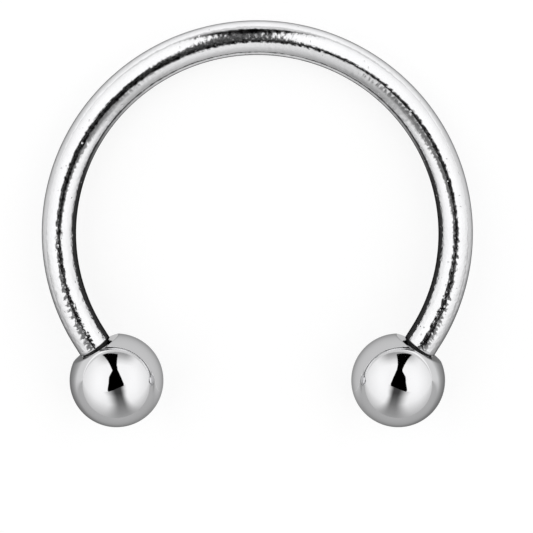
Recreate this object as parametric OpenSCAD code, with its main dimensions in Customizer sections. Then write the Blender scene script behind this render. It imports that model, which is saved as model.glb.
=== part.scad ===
// Horseshoe barbell: an open ring of round wire with a screw-on ball at each end.
// It lies on its side as it rests by itself: on both balls and on the back of the arc.
// The arc's back points to +Y, the mouth between the balls to -Y, and +Z is up.

/* [Wire] */
// Diameter of the round wire
wire_d = 1.2; // [0.8:0.05:1.6]
// Clear width across the inside of the arc
inner_d = 12.6; // [8:0.1:16]
// Angle that the arc runs on past its widest line, at each side
arc_drop = 31.6; // [20:0.1:40]
// Length of the straight turned neck between the arc and its shoulder
neck_l = 0.42; // [0.2:0.02:1]
// Step from the wire's surface down to the neck
neck_step = 0.01; // [0.01:0.01:0.06]

/* [Balls] */
// Diameter of each ball
ball_d = 3.28; // [2.9:0.02:4]
// Width of the round flat that faces the wire
flat_d = 1.87; // [1.7:0.01:2.2]

/* [Screw fit] */
// Step from the wire's surface down to the post
post_step = 0.08; // [0.07:0.01:0.2]
// Length of each post from its shoulder to its tip
post_l = 1.9; // [1.2:0.05:2.2]
// Length of the cone that breaks the edge of each post's tip
tip_l = 0.12; // [0.06:0.02:0.3]
// Clearance all round a post in its bore
bore_gap = 0.03; // [0.01:0.01:0.08]
// Free depth of the bore beyond the post's tip
bore_spare = 0.2; // [0.1:0.05:0.5]
// Gap between the wire's shoulder and the ball's flat
seat_gap = 0.06; // [0.02:0.01:0.1]

/* [Hidden] */
$fn = 96;
wire_colour = [0.74, 0.74, 0.75];
ball_colour = [0.8, 0.8, 0.81];
// The two sides, as the sign of X
right = 1;
left = -1;
// Half the angle of the drill's point at the bore's end
drill_half_angle = 59;
// How far a cut runs past the face it opens
cut_over = 0.1;
// How far the neck is rooted in the arc's end
neck_root = 0.15;

wire_r = wire_d / 2;
ball_r = ball_d / 2;
ring_r = (inner_d + wire_d) / 2;
neck_d = wire_d - 2 * neck_step;
post_d = wire_d - 2 * post_step;
bore_d = post_d + 2 * bore_gap;
bore_l = post_l - seat_gap + bore_spare;
drill_point_l = bore_d / 2 / tan(drill_half_angle);

// Distances along a post's axis, from the arc's end
flat_at = neck_l + seat_gap;
flat_depth = sqrt(pow(ball_r, 2) - pow(flat_d / 2, 2));
ball_at = flat_at + flat_depth;

// How the ring lies: the ball's centre is ball_r above the floor and the arc's back is wire_r above it
ball_drop = ring_r * sin(arc_drop) + ball_at * cos(arc_drop);
lie_tilt = asin((ball_r - wire_r) / (ring_r + ball_drop));
ring_z = wire_r + ring_r * sin(lie_tilt);
back_y = ring_r * cos(lie_tilt) + wire_r;
front_y = -ball_drop * cos(lie_tilt) - ball_r;
ring_y = -(back_y + front_y) / 2;

// From the ring's own flat frame to the floor
module lying() {
    translate([0, ring_y, ring_z])
        rotate([-lie_tilt, 0, 0])
            children();
}

// At the arc's end on one side, with +Z along the post and away from the arc
module at_end(side) {
    rotate([0, 0, side == right ? -arc_drop : 180 + arc_drop])
        translate([ring_r, 0, 0])
            rotate([side * 90, 0, 0])
                children();
}

// A full ring with its mouth cut out, square to the wire at each end
module arc() {
    difference() {
        rotate_extrude()
            translate([ring_r, 0])
                circle(d = wire_d);
        at_end(right) mouth_cut();
        at_end(left) mouth_cut();
    }
}

// One side of the mouth, from the arc's end to past the mouth's middle
module mouth_cut() {
    reach = wire_r + cut_over;
    translate([-ring_r, -reach, 0])
        cube([ring_r + reach, 2 * reach, ring_r + reach]);
}

// The straight neck, then the thinner post with its coned tip
module neck_and_post() {
    translate([0, 0, -neck_root])
        cylinder(d = neck_d, h = neck_root + neck_l);
    cylinder(d = post_d, h = neck_l + post_l - tip_l);
    translate([0, 0, neck_l + post_l - tip_l])
        cylinder(d1 = post_d, d2 = post_d - 2 * tip_l, h = tip_l);
}

// One ball, with its flat turned to the wire and a blind drilled bore
module end_ball() {
    difference() {
        translate([0, 0, ball_at])
            sphere(d = ball_d);
        translate([0, 0, flat_at - ball_r])
            cylinder(d = ball_d, h = ball_r);
        translate([0, 0, flat_at - cut_over])
            cylinder(d = bore_d, h = bore_l + cut_over);
        translate([0, 0, flat_at + bore_l])
            cylinder(d1 = bore_d, d2 = 0, h = drill_point_l);
    }
}

module bar() {
    color(wire_colour)
        lying() {
            arc();
            at_end(right) neck_and_post();
            at_end(left) neck_and_post();
        }
}

module left_ball() {
    color(ball_colour)
        lying()
            at_end(left)
                end_ball();
}

module right_ball() {
    color(ball_colour)
        lying()
            at_end(right)
                end_ball();
}

bar();
left_ball();
right_ball();
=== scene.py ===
import math

import bmesh
import bpy
from bpy.props import FloatProperty, FloatVectorProperty, IntProperty, PointerProperty
from bpy.types import Operator, Panel, PropertyGroup
from mathutils import Matrix, Vector, noise


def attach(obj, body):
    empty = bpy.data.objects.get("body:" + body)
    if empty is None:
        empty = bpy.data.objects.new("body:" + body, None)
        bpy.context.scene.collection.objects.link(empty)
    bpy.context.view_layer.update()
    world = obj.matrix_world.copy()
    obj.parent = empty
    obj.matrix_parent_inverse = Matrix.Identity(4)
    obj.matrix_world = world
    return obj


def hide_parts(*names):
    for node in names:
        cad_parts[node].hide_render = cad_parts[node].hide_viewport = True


bl_info = {
    "name": "Horseshoe Barbell",
    "version": (1, 0, 0),
    "blender": (4, 5, 0),
    "location": "3D View > Sidebar > Barbell",
    "description": "Builds a polished steel horseshoe barbell, its two screw-on balls and a small studio",
    "category": "Object",
}

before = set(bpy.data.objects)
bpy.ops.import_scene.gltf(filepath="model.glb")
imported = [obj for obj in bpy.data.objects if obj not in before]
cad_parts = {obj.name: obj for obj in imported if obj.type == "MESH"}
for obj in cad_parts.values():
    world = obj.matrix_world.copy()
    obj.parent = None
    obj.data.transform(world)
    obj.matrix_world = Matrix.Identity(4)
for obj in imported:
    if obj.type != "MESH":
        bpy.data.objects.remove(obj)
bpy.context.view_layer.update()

# The pieces are modelled in millimetres and written to their meshes in metres
MM = 0.001
RIGHT, LEFT = 1, -1
WIRE_COORDINATE = "wire_mm"
# Vertices closer than this are merged, in millimetres
MERGE = 0.0001
# A vertex within this distance of a wall or a circle belongs to it, in millimetres
NEAR = 0.001
# Half the angle of the drill's point at each bore's end, in degrees
DRILL_HALF_ANGLE = 59
# Shares of a thread's half pitch that are crest and flank. The rest is its root
CREST_SHARE, FLANK_SHARE = 0.2, 0.6
# Faces over a small rounding, and rows of faces for each turn of a thread
ROUND_SEGMENTS = 4
ROWS_PER_TURN = 12
# The side of the square picture and the place of the ring's middle in it, in pixels
PICTURE = 533
RING_PIXEL = (257.3, 234.4)


class WireSizes(PropertyGroup):
    """The round wire, bent to an open ring."""

    wire_d: FloatProperty(
        name="Wire diameter",
        description="Diameter of the round wire, in millimetres",
        default=1.2,
        min=0.8,
        max=1.6,
    )
    inner_d: FloatProperty(
        name="Inner width",
        description="Clear width inside the arc, in millimetres",
        default=12.6,
        min=8,
        max=16,
    )
    arc_drop: FloatProperty(
        name="Arc drop",
        description="Angle that the arc runs on past its widest line at each side",
        default=math.radians(31.6),
        subtype="ANGLE",
    )
    neck_l: FloatProperty(
        name="Neck length",
        description="Straight length after the arc, in millimetres",
        default=0.42,
        min=0.2,
        max=1,
    )
    ripple: FloatProperty(
        name="Ripple",
        description="Height of the wire's slow hand-bent ripple, in millimetres",
        default=0.004,
        min=0,
    )
    sides: IntProperty(name="Sides", description="Faces round the wire", default=96, min=24)
    steps: IntProperty(name="Steps", description="Faces along the arc", default=420, min=60)


class ScrewSizes(PropertyGroup):
    """The screw fit between the wire's ends and the balls."""

    post_d: FloatProperty(
        name="Post diameter", description="Diameter over the thread, in millimetres", default=1.04, min=0.5
    )
    post_l: FloatProperty(
        name="Post length", description="From shoulder to tip, in millimetres", default=1.9, min=1
    )
    tip_l: FloatProperty(
        name="Tip", description="Length of the tip's cone, in millimetres", default=0.12, min=0.02
    )
    pitch: FloatProperty(name="Pitch", description="Thread pitch, in millimetres", default=0.25, min=0.1)
    depth: FloatProperty(name="Depth", description="Thread depth, in millimetres", default=0.07, min=0)
    shoulder_round: FloatProperty(
        name="Shoulder", description="Rounding of the wire's shoulder, in millimetres", default=0.03, min=0
    )
    bore_gap: FloatProperty(
        name="Bore clearance", description="All round the post, in millimetres", default=0.03, min=0.01
    )
    bore_spare: FloatProperty(
        name="Bore spare", description="Free depth past the post's tip, in millimetres", default=0.2, min=0
    )
    seat_gap: FloatProperty(
        name="Seat gap",
        description="From the wire's shoulder to the flat, in millimetres",
        default=0.06,
        min=0,
    )


class BallSizes(PropertyGroup):
    """The two screw-on balls."""

    ball_d: FloatProperty(name="Ball diameter", description="In millimetres", default=3.28, min=2.6, max=4)
    flat_d: FloatProperty(
        name="Flat width",
        description="Width of the flat that faces the wire, in millimetres",
        default=1.87,
        min=1.5,
    )
    rim: FloatProperty(
        name="Rim", description="Rounding of the flat's edge, in millimetres", default=0.045, min=0
    )
    sides: IntProperty(name="Sides", description="Faces round the ball", default=160, min=32)


class SteelLook(PropertyGroup):
    """The finish of the steel."""

    wire_tone: FloatVectorProperty(
        name="Wire",
        description="Colour of the wire",
        subtype="COLOR",
        default=(0.86, 0.86, 0.87),
        min=0,
        max=1,
    )
    ball_tone: FloatVectorProperty(
        name="Balls",
        description="Colour of the balls",
        subtype="COLOR",
        default=(0.84, 0.84, 0.85),
        min=0,
        max=1,
    )
    wire_roughness: FloatProperty(
        name="Wire roughness",
        description="Mean roughness of the wire",
        default=0.09,
        min=0,
        max=1,
        subtype="FACTOR",
    )
    # The threads' darker tone is partly their duller finish and partly painted shade in the seat gap
    thread_share: FloatProperty(
        name="Thread tone",
        description="Share of the wire's tone left on the threads",
        default=0.5,
        min=0,
        max=1,
        subtype="FACTOR",
    )
    back_grain: FloatProperty(
        name="Back grain",
        description="Share of the wire's grain left at the back of the arc",
        default=0.4,
        min=0,
        max=1,
        subtype="FACTOR",
    )
    thread_roughness: FloatProperty(
        name="Thread roughness",
        description="Roughness of the threads",
        default=0.35,
        min=0,
        max=1,
        subtype="FACTOR",
    )
    ball_roughness: FloatProperty(
        name="Ball roughness",
        description="Mean roughness of the balls",
        default=0.03,
        min=0,
        max=1,
        subtype="FACTOR",
    )


class StudioLook(PropertyGroup):
    """The floor, the light and the camera. A tone is a brightness, where 1 is white."""

    floor_tone: FloatProperty(name="Floor", description="Tone of the floor to the lens", default=1.08, min=0)
    floor_glow: FloatProperty(
        name="Floor glow",
        description="Share of the floor's tone that is glow",
        default=0.7,
        min=0,
        max=1,
        subtype="FACTOR",
    )
    # The floor's tones from here to the tent are painted shade that only the steel mirrors: dark inside the
    # ring, dimmer beside and before the balls and far behind the arc
    inside_tone: FloatProperty(
        name="Floor inside",
        description="Tone of the floor inside the ring, as the steel mirrors it",
        default=0.04,
        min=0,
    )
    outside_tone: FloatProperty(
        name="Floor outside",
        description="Tone of the floor round the ring, as the steel mirrors it",
        default=0.8,
        min=0,
    )
    far_share: FloatProperty(
        name="Far floor", description="Share of the tone left far behind the arc", default=0.64, min=0
    )
    foot_share: FloatProperty(
        name="Beside the balls", description="Share of the tone left on the floor there", default=0.52, min=0
    )
    near_share: FloatProperty(
        name="Before the balls", description="Share of the tone left on the floor there", default=0.64, min=0
    )
    tent_level: FloatProperty(
        name="Tent light",
        description="Brightness of the white tent",
        default=1.16,
        min=0,
    )
    horizon_share: FloatProperty(
        name="Horizon", description="Share of the light left at the tent's foot", default=0.7, min=0
    )
    front_share: FloatProperty(
        name="Front", description="Share of the tent's light left at its front foot", default=0.68, min=0
    )
    card_distance: FloatProperty(
        name="Painted cards", description="Their distance from the steel", default=1.0, min=0.1, unit="LENGTH"
    )
    inner_card_d: FloatProperty(
        name="Inner card",
        description="Width of the card that the balls see inside the ring, in mm",
        default=13.4,
        min=1,
    )
    inner_card_share: FloatProperty(
        name="Inner card light", description="Share of the tent's light that it gives", default=0.52, min=0
    )
    back_card_d: FloatProperty(
        name="Back card",
        description="Width of the card that the wire sees inside the ring, in mm",
        default=11.2,
        min=1,
    )
    back_card_share: FloatProperty(
        name="Back card light",
        description="Share of the tent's light that its back gives",
        default=0.75,
        min=0,
    )
    flat_card_d: FloatProperty(
        name="Flat cards", description="Width of the card under each ball's flat, in mm", default=1.4, min=0.1
    )
    flat_card_share: FloatProperty(
        name="Flat card light", description="Share of the tent's light that they give", default=0.45, min=0
    )
    camera_lean: FloatProperty(
        name="Camera lean",
        description="Angle of the camera off the ring's own axis, over the arc",
        default=math.radians(10),
        subtype="ANGLE",
    )
    camera_distance: FloatProperty(
        name="Camera distance",
        description="From the ring's middle",
        default=0.2,
        min=0.05,
        unit="LENGTH",
        precision=4,
    )
    pixels_per_mm: FloatProperty(
        name="Scale", description="Picture pixels for each millimetre", default=28.75, min=1
    )


class Barbell(PropertyGroup):
    """All the settings of the barbell."""

    wire: PointerProperty(type=WireSizes)
    screw: PointerProperty(type=ScrewSizes)
    ball: PointerProperty(type=BallSizes)
    steel: PointerProperty(type=SteelLook)
    studio: PointerProperty(type=StudioLook)


# Places, all in millimetres and worked out from the sizes


def ring_radius(barbell):
    """Radius of the wire's middle line."""
    return (barbell.wire.inner_d + barbell.wire.wire_d) / 2


def flat_from_arc(barbell):
    """Distance along the post's axis from the arc's end to the ball's flat."""
    return barbell.wire.neck_l + barbell.screw.seat_gap


def ball_from_arc(barbell):
    """Distance along the post's axis from the arc's end to the ball's middle."""
    radius = barbell.ball.ball_d / 2
    return flat_from_arc(barbell) + math.sqrt(radius**2 - (barbell.ball.flat_d / 2) ** 2)


def ball_drop(barbell):
    """Distance from the ring's middle to the line through both balls' middles, in the ring's plane."""
    drop = barbell.wire.arc_drop
    return ring_radius(barbell) * math.sin(drop) + ball_from_arc(barbell) * math.cos(drop)


def lying_tilt(barbell):
    """Tilt of the ring's plane as it lies on both balls and on the back of its arc."""
    rise = (barbell.ball.ball_d - barbell.wire.wire_d) / 2
    return math.asin(rise / (ring_radius(barbell) + ball_drop(barbell)))


def lying(barbell):
    """From the ring's own flat frame to where it rests on the floor."""
    tilt, ring_r, wire_r = lying_tilt(barbell), ring_radius(barbell), barbell.wire.wire_d / 2
    back = ring_r * math.cos(tilt) + wire_r
    front = -ball_drop(barbell) * math.cos(tilt) - barbell.ball.ball_d / 2
    place = Matrix.Translation((0, -(back + front) / 2, wire_r + ring_r * math.sin(tilt)))
    return place @ Matrix.Rotation(-tilt, 4, "X")


def ring_middle(barbell):
    """The point of the floor under the ring's middle, in millimetres."""
    return Vector((0, lying(barbell).to_translation().y, 0))


def ball_middle(barbell, side):
    """The middle of one ball as it lies, in millimetres."""
    return lying(barbell) @ at_end(barbell, side) @ Vector((0, 0, ball_from_arc(barbell)))


def at_end(barbell, side):
    """The ring's frame moved to the arc's end on one side, with +Z along the post and away from the arc."""
    angle = -barbell.wire.arc_drop if side == RIGHT else math.pi + barbell.wire.arc_drop
    turn = Matrix.Rotation(angle, 4, "Z") @ Matrix.Translation((ring_radius(barbell), 0, 0))
    return turn @ Matrix.Rotation(side * math.pi / 2, 4, "X")


# Mesh helpers


def grow_loop(bm, edges, place, rows):
    """Carries a loop of edges on along the Z axis of a place, through rows of (distance along, radius)."""
    inverse = place.inverted()
    along = place.to_3x3() @ Vector((0, 0, 1))
    for distance, radius in rows:
        made = bmesh.ops.extrude_edge_only(bm, edges=edges)["geom"]
        verts = [g for g in made if isinstance(g, bmesh.types.BMVert)]
        edges = [g for g in made if isinstance(g, bmesh.types.BMEdge)]
        here = inverse @ verts[0].co
        scale = radius / math.hypot(here.x, here.y)
        bmesh.ops.scale(bm, vec=(scale, scale, 1), space=inverse, verts=verts)
        bmesh.ops.translate(bm, vec=along * (distance - here.z), verts=verts)
    return edges


def rounded_corner(inner, outer, radius, segments):
    """Rows that turn from a cylinder onto a flat end, through a quarter round: (distance along, radius)."""
    rows = []
    for i in range(segments + 1):
        turn = math.pi / 2 * i / segments
        rows.append((inner - radius + radius * math.sin(turn), outer - radius + radius * math.cos(turn)))
    return rows


def thread_shape(turns):
    """Depth share of a screw thread at a count of turns: 0 on its flat crest and 1 at its root."""
    share = abs((turns % 1) * 2 - 1)
    return min(max((share - CREST_SHARE) / FLANK_SHARE, 0), 1)


def cut_thread(bm, barbell, place, start, end, radius, outward):
    """Presses a helical thread into the wall of one radius, between two distances along a place's Z axis."""
    inverse = place.inverted()
    for v in bm.verts:
        p = inverse @ v.co
        if not start <= p.z <= end or abs(math.hypot(p.x, p.y) - radius) > NEAR:
            continue
        runout = min((p.z - start) / barbell.screw.pitch, (end - p.z) / barbell.screw.pitch, 1)
        turns = (p.z - start) / barbell.screw.pitch - math.atan2(p.y, p.x) / math.tau
        scale = 1 + outward * barbell.screw.depth * runout * thread_shape(turns) / radius
        v.co = place @ Vector((p.x * scale, p.y * scale, p.z))


def finished(bm, name, barbell, material, body, node):
    """Turns a bmesh in the ring's frame into a piece that lies in the row frame and stands for its node."""
    bmesh.ops.recalc_face_normals(bm, faces=bm.faces)
    bmesh.ops.transform(bm, matrix=Matrix.Scale(MM, 4) @ lying(barbell), verts=bm.verts)
    for face in bm.faces:
        face.smooth = True
    mesh = bpy.data.meshes.new(name)
    bm.to_mesh(mesh)
    bm.free()
    mesh.materials.append(material)
    piece = bpy.data.objects.new(name, mesh)
    bpy.context.scene.collection.objects.link(piece)
    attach(piece, body)
    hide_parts(node)
    return piece


# Material helpers


def node(tree, kind, inputs=(), **settings):
    """A new shader node with its settings, and its inputs given by name or number."""
    made = tree.nodes.new(kind)
    for key, value in settings.items():
        setattr(made, key, value)
    for key, value in dict(inputs).items():
        if isinstance(value, bpy.types.NodeSocket):
            tree.links.new(value, made.inputs[key])
        else:
            made.inputs[key].default_value = value
    return made


def maths(tree, operation, *values, clamp=False):
    """A Math node's result."""
    made = node(tree, "ShaderNodeMath", dict(enumerate(values)), operation=operation, use_clamp=clamp)
    return made.outputs[0]


def ramp(tree, factor, stops):
    """A grey ramp's value: stops are (position, value)."""
    made = node(tree, "ShaderNodeValToRGB", {"Fac": factor})
    elements = made.color_ramp.elements
    while len(elements) < len(stops):
        elements.new(0.5)
    for element, (position, value) in zip(elements, stops):
        element.position = position
        element.color = (value, value, value, 1)
    return made.outputs["Color"]


def ramp_range(tree, value, low, high, to_low=0.0, to_high=1.0, kind="LINEAR"):
    """A Map Range node's result, clamped."""
    inputs = {"Value": value, "From Min": low, "From Max": high, "To Min": to_low, "To Max": to_high}
    return node(tree, "ShaderNodeMapRange", inputs, interpolation_type=kind).outputs[0]


def bump(tree, height, distance, strength, under=None):
    """A Bump node's normal, on top of another one."""
    inputs = {"Height": height, "Distance": distance, "Strength": strength}
    if under is not None:
        inputs["Normal"] = under
    return node(tree, "ShaderNodeBump", inputs).outputs["Normal"]


def new_material(name):
    """An empty material and its tree, with a Principled shader on its output."""
    material = bpy.data.materials.new(name)
    material.use_nodes = True
    tree = material.node_tree
    tree.nodes.clear()
    shader = node(tree, "ShaderNodeBsdfPrincipled")
    node(tree, "ShaderNodeOutputMaterial", {"Surface": shader.outputs["BSDF"]})
    return material, tree, shader


def wire_steel(barbell):
    """Drawn, bent and polished steel wire: draw lines, a grain that breaks up reflections, and dark threads
    with painted shade in the seat gap.
    """
    look = barbell.steel
    material, tree, shader = new_material("wire_steel")
    place = node(tree, "ShaderNodeAttribute", attribute_name=WIRE_COORDINATE).outputs["Vector"]
    along, radial = node(tree, "ShaderNodeSeparateXYZ", {"Vector": place}).outputs[:2]
    along = maths(tree, "ABSOLUTE", along)
    grain = node(tree, "ShaderNodeTexNoise", {"Vector": place, "Scale": 7.0, "Detail": 0.6}).outputs[0]
    normal = wire_relief(tree, look, place, along, grain)
    swirl = node(tree, "ShaderNodeTexNoise", {"Vector": place, "Scale": 1.3, "Detail": 2.0}).outputs[0]
    tone = node(tree, "ShaderNodeMix", {"Factor": swirl}, data_type="RGBA")
    base = Vector(look.wire_tone)
    darker, lighter = 0.94, 1.05
    tone.inputs[6].default_value = (*(base * darker), 1)
    tone.inputs[7].default_value = (*(base * lighter), 1)
    # The threads' tone starts just before the shoulder, on a slanting line. It is partly their duller finish
    # and partly painted shade in the seat gap. The first thread is the darkest, as painted shade under the
    # shoulder
    shoulder = ring_radius(barbell) * (math.pi / 2 + barbell.wire.arc_drop) + barbell.wire.neck_l
    slant, lead, softness = 0.12, 0.02, 0.03
    first_thread, second_thread, gap_shade_share = 0.1, 0.2, 0.1
    into_end = maths(tree, "SUBTRACT", maths(tree, "MULTIPLY_ADD", radial, -slant, along), shoulder)
    past = within(tree, maths(tree, "ADD", into_end, lead), softness)
    gap_shade = ramp_range(tree, along, shoulder + first_thread, shoulder + second_thread, gap_shade_share, 1.0)
    gap_shade_inputs = {0: base * look.thread_share, "Scale": gap_shade}
    shaded_threads = node(tree, "ShaderNodeVectorMath", gap_shade_inputs, operation="SCALE")
    threads = node(tree, "ShaderNodeMix", {"Factor": past}, data_type="RGBA")
    tree.links.new(tone.outputs[2], threads.inputs[6])
    tree.links.new(shaded_threads.outputs[0], threads.inputs[7])
    tree.links.new(threads.outputs[2], shader.inputs["Base Color"])
    polished = ramp_range(tree, grain, 0.3, 0.7, look.wire_roughness * 0.8, look.wire_roughness * 1.6)
    rough = node(tree, "ShaderNodeMix", {0: past, 2: polished, 3: look.thread_roughness}, data_type="FLOAT")
    tree.links.new(rough.outputs[0], shader.inputs["Roughness"])
    tree.links.new(normal, shader.inputs["Normal"])
    shader.inputs["Metallic"].default_value = 1.0
    shader.inputs["Specular Tint"].default_value = (0.2, 0.2, 0.2, 1)
    return material


def wire_relief(tree, look, place, along, grain):
    """The wire's fine relief: draw lines, grain that is fainter at the back of the arc, and pits."""
    # Heights in metres, a pit's size in the texture's own unit, and where the back ends, in mm along the wire
    line_height, grain_height, pit_height = 3.0e-6, 1.5e-5, 1.0e-5
    pit_floor, pit_edge = 0.05, 0.11
    back_end, full_grain = 9.0, 13.0
    stretched = node(tree, "ShaderNodeMapping", {"Vector": place, "Scale": (0.9, 9.0, 9.0)}).outputs[0]
    lines = node(tree, "ShaderNodeTexNoise", {"Vector": stretched, "Scale": 1.6, "Detail": 2.0}).outputs[0]
    spots = node(tree, "ShaderNodeTexVoronoi", {"Vector": place, "Scale": 3.2}, feature="F1")
    pits = ramp_range(tree, spots.outputs["Distance"], pit_floor, pit_edge)
    worn = ramp_range(tree, along, back_end, full_grain, look.back_grain, 1.0)
    normal = bump(tree, lines, line_height, 0.8)
    normal = bump(tree, grain, grain_height, worn, normal)
    return bump(tree, pits, pit_height, 1.0, normal)


def in_millimetres(tree):
    """Object coordinates in millimetres."""
    metres = node(tree, "ShaderNodeTexCoord").outputs["Object"]
    return node(tree, "ShaderNodeMapping", {"Vector": metres, "Scale": (1 / MM, 1 / MM, 1 / MM)}).outputs[0]


def ball_steel(look):
    """Mirror-polished steel with a faint haze, a trace of orange peel and a fine grain."""
    material, tree, shader = new_material("ball_steel")
    place = in_millimetres(tree)
    peel_height, grain_height = 3.0e-6, 0.6e-6
    haze = node(tree, "ShaderNodeTexNoise", {"Vector": place, "Scale": 1.1, "Detail": 3.0}).outputs[0]
    orange_peel = node(tree, "ShaderNodeTexNoise", {"Vector": place, "Scale": 2.4, "Detail": 1.0}).outputs[0]
    grain = node(tree, "ShaderNodeTexNoise", {"Vector": place, "Scale": 16.0, "Detail": 2.0}).outputs[0]
    normal = bump(tree, orange_peel, peel_height, 0.35)
    normal = bump(tree, grain, grain_height, 0.4, normal)
    tone = node(tree, "ShaderNodeMix", {"Factor": haze}, data_type="RGBA")
    base = Vector(look.ball_tone)
    darker, lighter = 0.96, 1.03
    tone.inputs[6].default_value = (*(base * darker), 1)
    tone.inputs[7].default_value = (*(base * lighter), 1)
    tree.links.new(tone.outputs[2], shader.inputs["Base Color"])
    rough = ramp_range(tree, haze, 0.3, 0.7, look.ball_roughness * 0.7, look.ball_roughness * 1.8)
    tree.links.new(rough, shader.inputs["Roughness"])
    tree.links.new(normal, shader.inputs["Normal"])
    shader.inputs["Metallic"].default_value = 1.0
    shader.inputs["Specular Tint"].default_value = (0.5, 0.5, 0.5, 1)
    return material


# The pieces


def store_wire_coordinate(piece, barbell):
    """Keeps each vertex's place on the wire pulled straight: along it and across it, in millimetres."""
    ring_r, drop = ring_radius(barbell), barbell.wire.arc_drop
    to_ring = (Matrix.Scale(MM, 4) @ lying(barbell)).inverted()
    ends = {side: at_end(barbell, side).inverted() for side in (RIGHT, LEFT)}
    half_arc = ring_r * (math.pi / 2 + drop)
    attribute = piece.data.attributes.new(WIRE_COORDINATE, "FLOAT_VECTOR", "POINT")
    for v, kept in zip(piece.data.vertices, attribute.data):
        p = to_ring @ v.co
        side = RIGHT if p.x > 0 else LEFT
        local = ends[side] @ p
        if local.z > 0:
            kept.vector = (side * (half_arc + local.z), local.x, p.z)
        else:
            kept.vector = (ring_r * math.atan2(p.x, p.y), math.hypot(p.x, p.y) - ring_r, p.z)


def ripple_wire(bm, barbell):
    """Gives the bent wire a slow, shallow ripple along its skin, up to the necks."""
    ring_r = ring_radius(barbell)
    ends = {side: at_end(barbell, side).inverted() for side in (RIGHT, LEFT)}
    bm.normal_update()
    stretch = Vector((0.35, 1.1, 1.1))
    moves = []
    for v in bm.verts:
        side = RIGHT if v.co.x > 0 else LEFT
        if (ends[side] @ v.co).z > 0:
            continue
        angle = math.atan2(v.co.x, v.co.y)
        straight = Vector((ring_r * angle, math.hypot(v.co.x, v.co.y) - ring_r, v.co.z))
        moves.append((v, v.normal * barbell.wire.ripple * noise.noise(straight * stretch)))
    for v, move in moves:
        v.co += move


class HORSESHOE_OT_bar(Operator):
    """Bends the wire to its open ring and turns a neck and a threaded post at each end."""

    bl_idname = "horseshoe.bar"
    bl_label = "Bar"

    def execute(self, context):
        barbell = context.scene.horseshoe
        wire_r, post_r = barbell.wire.wire_d / 2, barbell.screw.post_d / 2
        shoulder, end = barbell.wire.neck_l, barbell.wire.neck_l + barbell.screw.post_l
        thread_end = end - barbell.screw.tip_l
        place = at_end(barbell, RIGHT)
        bm = bmesh.new()
        bmesh.ops.create_circle(bm, segments=barbell.wire.sides, radius=wire_r, matrix=place)
        arc_end = list(bm.edges)
        rows = [(shoulder * share, wire_r) for share in (0.25, 0.5, 0.75)]
        rows += rounded_corner(shoulder, wire_r, barbell.screw.shoulder_round, ROUND_SEGMENTS)
        rows.append((shoulder, post_r))
        steps = round((thread_end - shoulder) / barbell.screw.pitch * ROWS_PER_TURN)
        rows += [(shoulder + (thread_end - shoulder) * i / steps, post_r) for i in range(1, steps + 1)]
        rows.append((end, post_r - barbell.screw.tip_l))
        tip = grow_loop(bm, arc_end, place, rows)
        cap = bmesh.ops.contextual_create(bm, geom=tip)["faces"]
        bmesh.ops.poke(bm, faces=cap)
        half = math.pi / 2 + barbell.wire.arc_drop
        bmesh.ops.spin(
            bm,
            geom=arc_end,
            cent=(0, 0, 0),
            axis=(0, 0, 1),
            angle=half,
            steps=barbell.wire.steps // 2,
            use_duplicate=False,
        )
        bmesh.ops.mirror(bm, geom=bm.verts[:] + bm.edges[:] + bm.faces[:], axis="X", merge_dist=MERGE)
        bmesh.ops.recalc_face_normals(bm, faces=bm.faces)
        ripple_wire(bm, barbell)
        first, last = shoulder + barbell.screw.pitch / 2, thread_end + barbell.screw.pitch
        for side in (RIGHT, LEFT):
            cut_thread(bm, barbell, at_end(barbell, side), first, last, post_r, -1)
        piece = finished(bm, "bar_piece", barbell, wire_steel(barbell), "bar", "bar")
        store_wire_coordinate(piece, barbell)
        return {"FINISHED"}


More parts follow.
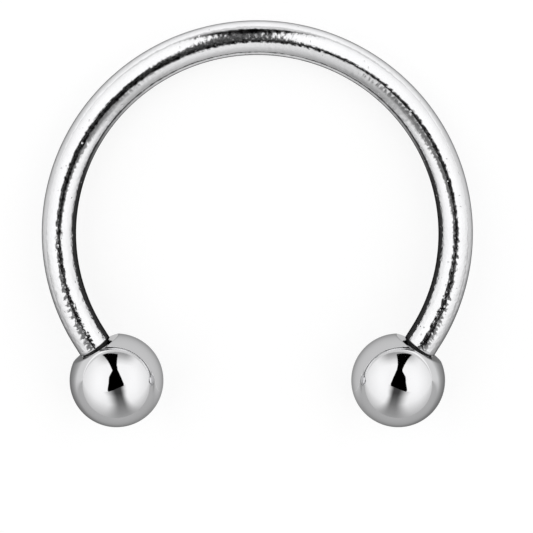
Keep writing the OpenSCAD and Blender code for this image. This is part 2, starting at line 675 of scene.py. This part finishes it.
def turn_ball(barbell, side):
    """A bmesh of one ball: its profile is spun round the post's axis, then the flat's rim is rounded."""
    bm = bmesh.new()
    ball_r, flat_r = barbell.ball.ball_d / 2, barbell.ball.flat_d / 2
    flat_z, middle_z = flat_from_arc(barbell), ball_from_arc(barbell)
    bore_r = barbell.screw.post_d / 2 + barbell.screw.bore_gap
    bore_l = barbell.screw.post_l - barbell.screw.seat_gap + barbell.screw.bore_spare
    pole = bm.verts.new((0, 0, middle_z + ball_r))
    around = math.pi - math.asin(flat_r / ball_r)
    spun = bmesh.ops.spin(
        bm,
        geom=[pole],
        cent=(0, 0, middle_z),
        axis=(0, 1, 0),
        angle=around,
        steps=barbell.ball.sides // 2,
        use_duplicate=False,
    )
    last = [g for g in spun["geom_last"] if isinstance(g, bmesh.types.BMVert)][0]
    drill_point = bore_r / math.tan(math.radians(DRILL_HALF_ANGLE))
    # The flat has rows of faces beside its rim and its bore, whose mouth is a small cone
    rim_rows, mouth, bore_rows = (0.05, 0.08), 0.02, 60
    rows = [(flat_r - inset, flat_z) for inset in rim_rows]
    rows += [(bore_r + 2 * mouth, flat_z), (bore_r + mouth, flat_z), (bore_r, flat_z + mouth)]
    rows += [(bore_r, flat_z + mouth + (bore_l - mouth) * i / bore_rows) for i in range(1, bore_rows + 1)]
    rows.append((0, flat_z + bore_l + drill_point))
    for x, z in rows:
        last = bmesh.ops.extrude_vert_indiv(bm, verts=[last])["verts"][0]
        last.co = (x, 0, z)
    bmesh.ops.spin(
        bm,
        geom=bm.verts[:] + bm.edges[:],
        cent=(0, 0, 0),
        axis=(0, 0, 1),
        angle=math.tau,
        steps=barbell.ball.sides,
        use_merge=True,
        use_duplicate=False,
    )
    bmesh.ops.remove_doubles(bm, verts=bm.verts, dist=MERGE)
    on_rim = {v for v in bm.verts if is_at(v, flat_r, flat_z)}
    rim = [e for e in bm.edges if all(v in on_rim for v in e.verts)]
    bmesh.ops.bevel(
        bm,
        geom=rim,
        offset=barbell.ball.rim,
        segments=ROUND_SEGMENTS,
        profile=0.5,
        affect="EDGES",
        material=-1,
        offset_type="OFFSET",
    )
    cut_thread(bm, barbell, Matrix.Identity(4), flat_z + mouth, flat_z + bore_l, bore_r, 1)
    bmesh.ops.transform(bm, matrix=at_end(barbell, side), verts=bm.verts)
    return bm


def is_at(v, radius, height):
    """Whether a vertex lies on the circle of one radius and height round the Z axis."""
    return abs(v.co.z - height) < NEAR and abs(math.hypot(v.co.x, v.co.y) - radius) < NEAR


class HORSESHOE_OT_balls(Operator):
    """Turns the two balls, each with its flat, its rounded rim and its threaded blind bore."""

    bl_idname = "horseshoe.balls"
    bl_label = "Balls"

    def execute(self, context):
        barbell = context.scene.horseshoe
        material = ball_steel(barbell.steel)
        for side, name in ((LEFT, "left_ball"), (RIGHT, "right_ball")):
            finished(turn_ball(barbell, side), name + "_piece", barbell, material, name, name)
        return {"FINISHED"}


# The studio. Its light is drawn in the lens's own directions: across, and the angle up from it in degrees

ACROSS = (-1, 1)
ANGLES = (-110, 80)
SHARES = (0, 1)
# The window's edges at either side and at its foot, and how soft they are
WINDOW_SIDE, SIDE_SOFTNESS = 0.75, 0.08
WINDOW_FOOT, FOOT_SOFTNESS = -108, 4
# The painted cards hang edge to edge from the top of the window to its foot
CARD_ANGLE = 92
CARD_MIDDLES = (32, -60)
# Half a painted card's width at a distance of 1
CARD_HALF_WIDTH = 1.9


def follow(tree, value, span, stops, results=SHARES):
    """A value drawn as straight lines through stops of (value, result)."""
    (low, high), (bottom, top) = span, results
    places = [((at - low) / (high - low), (result - bottom) / (top - bottom)) for at, result in stops]
    drawn = ramp(tree, ramp_range(tree, value, low, high), places)
    return maths(tree, "MULTIPLY_ADD", drawn, top - bottom, bottom)


def within(tree, distance, softness):
    """1 inside an edge and 0 outside it, from the distance inside it."""
    return maths(tree, "MULTIPLY_ADD", distance, 1 / softness, 0.5, clamp=True)


def product(tree, *values):
    """Several values multiplied."""
    result = values[0]
    for value in values[1:]:
        result = maths(tree, "MULTIPLY", result, value)
    return result


def window(tree, across, along):
    """The part of the tent in front of the ring that the painted cards take the place of."""
    inwards = maths(tree, "SUBTRACT", WINDOW_SIDE, maths(tree, "ABSOLUTE", across))
    upwards = maths(tree, "SUBTRACT", along, WINDOW_FOOT)
    return product(tree, within(tree, inwards, SIDE_SOFTNESS), within(tree, upwards, FOOT_SOFTNESS))


def tent_tone(tree, look, along, out):
    """The tent's brightness, which falls off to its foot all round and most of all in front."""
    # Where it starts and ends falling off, as the cosine to the lens, and where in front, as an angle
    dome, foot = 0.9, -0.3
    front_foot, front_top = -115, -60
    fall = ramp_range(tree, out, dome, foot, 1.0, look.horizon_share, kind="SMOOTHSTEP")
    front = ramp_range(tree, along, front_foot, front_top, look.front_share, 1.0)
    return product(tree, fall, front, look.tent_level)


def white_tent(look, lean):
    """A white tent of light with a window for the painted cards. The lens itself sees a plain backdrop."""
    world = bpy.data.worlds.new("studio_tent")
    bpy.context.scene.world = world
    world.use_nodes = True
    tree = world.node_tree
    tree.nodes.clear()
    direction = node(tree, "ShaderNodeTexCoord").outputs["Generated"]
    lens_frame = {"Vector": direction, "Rotation": (lean, 0, 0)}
    leaned = node(tree, "ShaderNodeMapping", lens_frame, vector_type="VECTOR").outputs[0]
    across, up, out = node(tree, "ShaderNodeSeparateXYZ", {"Vector": leaned}).outputs
    along = maths(tree, "DEGREES", maths(tree, "ARCTAN2", up, out))
    closed = maths(tree, "SUBTRACT", 1, window(tree, across, along))
    level = product(tree, tent_tone(tree, look, along, out), closed)
    white = (1, 1, 1, 1)
    tent = node(tree, "ShaderNodeBackground", {"Color": white, "Strength": level}).outputs[0]
    backdrop = node(tree, "ShaderNodeBackground", {"Color": white, "Strength": look.floor_tone}).outputs[0]
    seen = node(tree, "ShaderNodeLightPath").outputs["Is Camera Ray"]
    mix = node(tree, "ShaderNodeMixShader", {0: seen, 1: tent, 2: backdrop}).outputs[0]
    node(tree, "ShaderNodeOutputWorld", {"Surface": mix})


def hourglass(tree, across, along):
    """What one ball sees through the window: a black hourglass that leans to the wire, over a soft column."""
    left = follow(tree, along, ANGLES, [
        (-28, -0.3), (-25, -0.35), (-5, -0.31), (10, -0.29), (24, -0.16), (27, -0.16), (52, -0.32),
        (75, -0.47),
    ], ACROSS)
    right = follow(tree, along, ANGLES, [
        (-13, 0.33), (-7, 0.33), (10, 0.21), (27, 0.075), (40, 0.03), (50, 0.035), (75, 0.07),
    ], ACROSS)
    top_angle, top_slope, base_angle, base_slope = 69.5, -14, -21, 24
    side_softness, end_softness, overlap = 0.02, 1.5, 2
    top = maths(tree, "MULTIPLY_ADD", across, top_slope, top_angle)
    base = maths(tree, "MULTIPLY_ADD", across, base_slope, base_angle)
    black = product(
        tree,
        within(tree, maths(tree, "SUBTRACT", across, left), side_softness),
        within(tree, maths(tree, "SUBTRACT", right, across), side_softness),
        within(tree, maths(tree, "SUBTRACT", top, along), end_softness),
        within(tree, maths(tree, "SUBTRACT", along, base), end_softness),
    )
    column = soft_column(tree, across, along)
    under = within(tree, maths(tree, "SUBTRACT", maths(tree, "ADD", base, overlap), along), end_softness)
    brow = follow(tree, along, ANGLES, [
        (-100, 0.08), (-30, 0.05), (40, 0.05), (52, 0.25), (60, 0.45), (70, 0.6),
    ])
    brow_end, brow_full = 0.76, 0.3
    inner = ramp_range(tree, maths(tree, "ABSOLUTE", across), brow_end, brow_full, kind="SMOOTHSTEP")
    marks = (maths(tree, "MAXIMUM", black, product(tree, column, under)), product(tree, brow, inner))
    return product(tree, *[maths(tree, "SUBTRACT", 1, mark) for mark in marks])


def soft_column(tree, across, along):
    """The grey column under the hourglass, which fades downwards and is softer to its inner side."""
    middle = follow(tree, along, ANGLES, [(-90, 0.23), (-62, 0.22), (-40, 0.18), (-30, 0.14), (-20, 0.1)])
    off = maths(tree, "SUBTRACT", across, middle)
    inner_side = follow(tree, along, ANGLES, [(-105, 0.7), (-62, 0.55), (-40, 0.64), (-25, 0.78)])
    outer_side = follow(tree, along, ANGLES, [(-105, 0.55), (-62, 0.33), (-40, 0.28), (-25, 0.36)])
    inwards = maths(tree, "DIVIDE", off, maths(tree, "MULTIPLY", inner_side, -1))
    reach = maths(tree, "MAXIMUM", maths(tree, "DIVIDE", off, outer_side), inwards)
    depth = follow(tree, along, ANGLES, [
        (-105, 0.3), (-90, 0.52), (-75, 0.68), (-62, 0.8), (-45, 0.89), (-31, 0.95),
    ])
    edge, core = 1.0, 0.15
    return product(tree, ramp_range(tree, reach, edge, core, kind="SMOOTHSTEP"), depth)


def stroke(tree, across, along, middles, half_widths, depths, softness):
    """A soft upright stroke, from stops of (angle, middle), (angle, half width) and (angle, depth)."""
    middle = follow(tree, along, ANGLES, middles, ACROSS)
    half_width = follow(tree, along, ANGLES, half_widths)
    off = maths(tree, "ABSOLUTE", maths(tree, "SUBTRACT", across, middle))
    inside = within(tree, maths(tree, "SUBTRACT", half_width, off), softness)
    return maths(tree, "MULTIPLY", inside, follow(tree, along, ANGLES, depths))


def wire_marks(tree, across, along):
    """What the wire sees through the window: a black wedge, and under it two dark arms and soft greys."""
    beside = maths(tree, "ABSOLUTE", across)
    wedge = stroke(
        tree, across, along, softness=0.05,
        middles=[(-18, 0), (-10, -0.06), (0, -0.07), (10, -0.06), (20, -0.05), (30, -0.04), (50, -0.03)],
        half_widths=[
            (-10, 0.12), (0, 0.12), (10, 0.11), (20, 0.11), (30, 0.12), (40, 0.17), (50, 0.24), (62, 0.33),
            (72, 0.42),
        ],
        depths=[
            (-24, 0), (-16, 0.95), (0, 0.95), (12, 0.92), (22, 0.95), (32, 1), (54, 1), (62, 0.75), (68, 0.5),
            (75, 0),
        ],
    )
    notch = stroke(
        tree, across, along, softness=0.08,
        middles=[(-1, 0), (1, 0)],
        half_widths=[(58, 0), (62, 0.06), (68, 0.2), (74, 0.3)],
        depths=[(58, 0), (64, 0.8)],
    )
    lower = stroke(
        tree, across, along, softness=0.05,
        middles=[(-40, 0.12), (-30, 0.09), (-22, 0.06)],
        half_widths=[(-42, 0.04), (-36, 0.1), (-30, 0.13)],
        depths=[(-44, 0), (-38, 0.6), (-32, 1), (-20, 1), (-16, 0)],
    )
    arms = stroke(
        tree, beside, along, softness=0.05,
        middles=[
            (-60, 0.52), (-45, 0.42), (-38, 0.36), (-30, 0.28), (-25, 0.23), (-20, 0.14), (-15, 0.16),
            (-10, 0.2),
        ],
        half_widths=[(-45, 0.13), (-30, 0.12), (-25, 0.12), (-20, 0.15), (-15, 0.14), (-10, 0.1)],
        depths=[
            (-62, 0.15), (-52, 0.4), (-45, 0.65), (-38, 0.75), (-28, 0.8), (-23, 0.82), (-20, 0.88),
            (-17, 0.97), (-15, 1), (-11, 1), (-7, 0),
        ],
    )
    foot = stroke(
        tree, beside, along, softness=0.12,
        middles=[(-110, 0), (0, 0)],
        half_widths=[(-75, 0.62), (-60, 0.58), (-45, 0.48), (-30, 0.36), (-22, 0.2)],
        depths=[(-26, 1), (-20, 0)],
    )
    greys = follow(tree, across, ACROSS, [(-0.5, 0.42), (-0.1, 0.28), (0, 0.18), (0.5, 0.22)])
    foot = maths(tree, "MULTIPLY", foot, greys)
    wedge = maths(tree, "MULTIPLY", wedge, maths(tree, "SUBTRACT", 1, notch))
    brow = follow(tree, along, ANGLES, [(60, 1), (72, 0.75)])
    marks = (wedge, lower, arms, foot)
    return product(tree, brow, *[maths(tree, "SUBTRACT", 1, mark) for mark in marks])


def hang_card(context, barbell, lean, middle, name, side, receivers, paint):
    """Hangs one painted card round a middle angle: a glowing sheet that only its own receivers see."""
    look = barbell.studio
    half_height = math.tan(math.radians(CARD_ANGLE / 2))
    data = bpy.data.lights.new(name, "AREA")
    data.shape = "RECTANGLE"
    data.size = 2 * look.card_distance * CARD_HALF_WIDTH
    data.size_y = 2 * look.card_distance * half_height
    data.energy = math.pi * data.size * data.size_y
    data.use_nodes = True
    tree = data.node_tree
    tree.nodes.clear()
    place = node(tree, "ShaderNodeNewGeometry").outputs["Parametric"]
    u, v = node(tree, "ShaderNodeSeparateXYZ", {"Vector": place}).outputs[:2]
    x = ramp_range(tree, u, 0, 1, -CARD_HALF_WIDTH, CARD_HALF_WIDTH)
    y = ramp_range(tree, v, 0, 1, -half_height, half_height)
    ray = node(tree, "ShaderNodeCombineXYZ", {0: x, 1: y, 2: 1.0}).outputs[0]
    ray = node(tree, "ShaderNodeVectorMath", {0: ray}, operation="NORMALIZE").outputs[0]
    across = node(tree, "ShaderNodeSeparateXYZ", {"Vector": ray}).outputs[0]
    along = maths(tree, "ADD", maths(tree, "DEGREES", maths(tree, "ARCTANGENT", y)), middle)
    out = product(
        tree,
        maths(tree, "SQRT", maths(tree, "SUBTRACT", 1, maths(tree, "MULTIPLY", across, across))),
        maths(tree, "COSINE", maths(tree, "RADIANS", along)),
    )
    folded = maths(tree, "MULTIPLY", across, -side) if side else across
    tone = tent_tone(tree, look, along, out)
    level = product(tree, paint(tree, folded, along), window(tree, across, along), tone)
    glow = node(tree, "ShaderNodeEmission", {"Strength": level}).outputs[0]
    node(tree, "ShaderNodeOutputLight", {"Surface": glow})
    light = bpy.data.objects.new(name, data)
    centre = ball_middle(barbell, side) if side else Vector()
    turn = Matrix.Rotation(-lean - math.radians(middle), 4, "X")
    card = Matrix.Translation((0, 0, look.card_distance))
    light.matrix_world = Matrix.Translation(centre * MM) @ turn @ card
    light.visible_camera = False
    context.scene.collection.objects.link(light)
    link_light(light, receivers)


def link_light(light, receivers):
    """Lets a light fall on some objects only."""
    group = bpy.data.collections.new(light.name + "_receivers")
    for name in receivers:
        group.objects.link(bpy.data.objects[name])
    light.light_linking.receiver_collection = group


def floor_material(barbell):
    """A pale matt floor that glows a little. The steel sees its darker tones, painted shade inside the ring
    and round the balls, and the lens doesn't.
    """
    look = barbell.studio
    material = bpy.data.materials.new("floor")
    material.use_nodes = True
    tree = material.node_tree
    tree.nodes.clear()
    place = in_millimetres(tree)
    across, up = node(tree, "ShaderNodeSeparateXYZ", {"Vector": place}).outputs[:2]
    # The stretches over which the floor's painted shade changes, in millimetres. Only the steel mirrors it
    behind, far_behind, from_foot, in_front = (4.0, 9.0), (13.0, 20.0), (1.0, 5.5), (-9.0, -5.5)
    edge_softness, aside = 0.04, 0.7
    outside = ramp_range(tree, up, *behind, look.outside_tone, look.tent_level)
    outside = product(tree, outside, ramp_range(tree, up, *far_behind, 1.0, look.far_share))
    from_middle = {0: place, 1: ring_middle(barbell)}
    radius = node(tree, "ShaderNodeVectorMath", from_middle, operation="DISTANCE").outputs["Value"]
    beyond = within(tree, maths(tree, "SUBTRACT", radius, look.inner_card_d / 2), edge_softness)
    ring = node(tree, "ShaderNodeMix", {0: beyond, 2: look.inside_tone, 3: outside}, data_type="FLOAT")
    folded = node(tree, "ShaderNodeCombineXYZ", {0: maths(tree, "ABSOLUTE", across), 1: up}).outputs[0]
    ball = ball_middle(barbell, RIGHT)
    beside = Vector((ball.x + barbell.ball.ball_d * aside, ball.y, 0))
    gap = node(tree, "ShaderNodeVectorMath", {0: folded, 1: beside}, operation="DISTANCE").outputs["Value"]
    # Painted shade on the floor beside the balls' feet and before them, for the steel to mirror
    foot_shade = ramp_range(tree, gap, *from_foot, look.foot_share, 1.0, kind="SMOOTHSTEP")
    front = ramp_range(tree, up, *in_front, look.near_share, 1.0, kind="SMOOTHSTEP")
    tone = product(tree, ring.outputs[0], foot_shade, front)
    seen = node(tree, "ShaderNodeLightPath").outputs["Is Camera Ray"]
    tone = node(tree, "ShaderNodeMix", {0: seen, 2: tone, 3: look.floor_tone}, data_type="FLOAT").outputs[0]
    matt = node(tree, "ShaderNodeBsdfDiffuse", {"Color": tone}).outputs[0]
    glow = node(tree, "ShaderNodeEmission", {"Color": tone, "Strength": 1.0}).outputs[0]
    mix = node(tree, "ShaderNodeMixShader", {0: look.floor_glow, 1: matt, 2: glow}).outputs[0]
    node(tree, "ShaderNodeOutputMaterial", {"Surface": mix})
    return material


def lay_cards(context, barbell):
    """Lays the round cards: inside the ring for the balls and for the wire, and under each flat."""
    look = barbell.studio
    balls = ["left_ball_piece", "right_ball_piece"]
    middle = ring_middle(barbell)
    inner, flat_light = look.inner_card_share, look.flat_card_share
    lay_card(context, look, "inside_card", balls, middle, look.inner_card_d, (inner, inner))
    lay_card(context, look, "back_card", ["bar_piece"], middle, look.back_card_d, (0, look.back_card_share))
    for side, name in ((LEFT, "left_flat_card"), (RIGHT, "right_flat_card")):
        flat = lying(barbell) @ at_end(barbell, side) @ Vector((0, 0, flat_from_arc(barbell)))
        under = Vector((flat.x, flat.y, 0))
        lay_card(context, look, name, balls, under, look.flat_card_d, (flat_light, flat_light))


def lay_card(context, look, name, receivers, middle, width, shares):
    """Lays one round card on the floor, in millimetres, that glows from its front share to its back share."""
    # Where the first share ends and the second starts, and the card's height over the floor, in millimetres
    front_end, back_start, lift = 0.5, 4.0, 0.02
    data = bpy.data.lights.new(name, "AREA")
    data.shape = "DISK"
    data.size = width * MM
    data.energy = math.pi * math.pi / 4 * data.size**2
    data.use_nodes = True
    tree = data.node_tree
    tree.nodes.clear()
    place = node(tree, "ShaderNodeNewGeometry").outputs["Position"]
    up = node(tree, "ShaderNodeSeparateXYZ", {"Vector": place}).outputs[1]
    share = ramp_range(tree, up, front_end * MM, back_start * MM, *shares, kind="SMOOTHSTEP")
    glow = node(tree, "ShaderNodeEmission", {"Strength": product(tree, share, look.tent_level)}).outputs[0]
    node(tree, "ShaderNodeOutputLight", {"Surface": glow})
    card = bpy.data.objects.new(name, data)
    lifted = (middle + Vector((0, 0, lift))) * MM
    card.matrix_world = Matrix.Translation(lifted) @ Matrix.Rotation(math.pi, 4, "X")
    card.visible_camera = False
    context.scene.collection.objects.link(card)
    link_light(card, receivers)


# The paintings: name of the cards, side of the ball or 0 for the whole ring, who sees them, what is painted
PAINTINGS = (
    ("left_ball_card", LEFT, ["left_ball_piece"], hourglass),
    ("right_ball_card", RIGHT, ["right_ball_piece"], hourglass),
    ("wire_card", 0, ["bar_piece", "floor"], wire_marks),
)
# From the middle of the floor to its edges, in metres
FLOOR_REACH = 1.5


class HORSESHOE_OT_stage(Operator):
    """Lays the floor, hangs the light tent and sets up the camera."""

    bl_idname = "horseshoe.stage"
    bl_label = "Stage"

    def execute(self, context):
        barbell = context.scene.horseshoe
        bm = bmesh.new()
        bmesh.ops.create_grid(bm, x_segments=1, y_segments=1, size=FLOOR_REACH)
        mesh = bpy.data.meshes.new("floor")
        bm.to_mesh(mesh)
        bm.free()
        mesh.materials.append(floor_material(barbell))
        floor = bpy.data.objects.new("floor", mesh)
        context.scene.collection.objects.link(floor)
        lean = lying_tilt(barbell) + barbell.studio.camera_lean
        white_tent(barbell.studio, lean)
        for painting in PAINTINGS:
            for middle in CARD_MIDDLES:
                hang_card(context, barbell, lean, middle, *painting)
        lay_cards(context, barbell)
        self.set_camera(context, barbell, lean)
        context.scene.view_settings.view_transform = "Standard"
        return {"FINISHED"}

    def set_camera(self, context, barbell, lean):
        """Aims the camera so that the ring's middle falls where it is in the picture."""
        look = barbell.studio
        clip_factor = 20
        back = Vector((0, math.sin(lean), math.cos(lean)))
        up = Vector((0, math.cos(lean), -math.sin(lean)))
        middle = (Matrix.Scale(MM, 4) @ lying(barbell)).to_translation()
        off = (Vector((PICTURE, PICTURE)) / 2 - Vector(RING_PIXEL)) / look.pixels_per_mm * MM
        aim = middle + Vector((off.x, 0, 0)) - up * off.y
        place = Matrix.Translation(aim + back * look.camera_distance)
        data = bpy.data.cameras.new("camera")
        data.sensor_width = 36
        data.lens = data.sensor_width * look.pixels_per_mm * look.camera_distance / MM / PICTURE
        data.clip_start = look.camera_distance / clip_factor
        data.clip_end = look.camera_distance * clip_factor
        camera = bpy.data.objects.new("camera", data)
        camera.matrix_world = place @ Matrix.Rotation(-lean, 4, "X")
        context.scene.collection.objects.link(camera)
        context.scene.camera = camera


class HORSESHOE_PT_parts(Panel):
    """Lists the barbell's settings and the steps that build it."""

    bl_label = "Horseshoe Barbell"
    bl_space_type = "VIEW_3D"
    bl_region_type = "UI"
    bl_category = "Barbell"

    def draw(self, context):
        barbell = context.scene.horseshoe
        for group in (barbell.wire, barbell.screw, barbell.ball, barbell.steel, barbell.studio):
            box = self.layout.box()
            for key in group.__annotations__:
                box.prop(group, key)
        for step in STEPS:
            self.layout.operator(step.bl_idname)


STEPS = (HORSESHOE_OT_bar, HORSESHOE_OT_balls, HORSESHOE_OT_stage)
CLASSES = (WireSizes, ScrewSizes, BallSizes, SteelLook, StudioLook, Barbell, *STEPS, HORSESHOE_PT_parts)


def register():
    for cls in CLASSES:
        bpy.utils.register_class(cls)
    bpy.types.Scene.horseshoe = PointerProperty(type=Barbell)


def unregister():
    del bpy.types.Scene.horseshoe
    for cls in reversed(CLASSES):
        bpy.utils.unregister_class(cls)


def main():
    register()
    bpy.ops.horseshoe.bar()
    bpy.ops.horseshoe.balls()
    bpy.ops.horseshoe.stage()


if __name__ == "__main__":
    main()
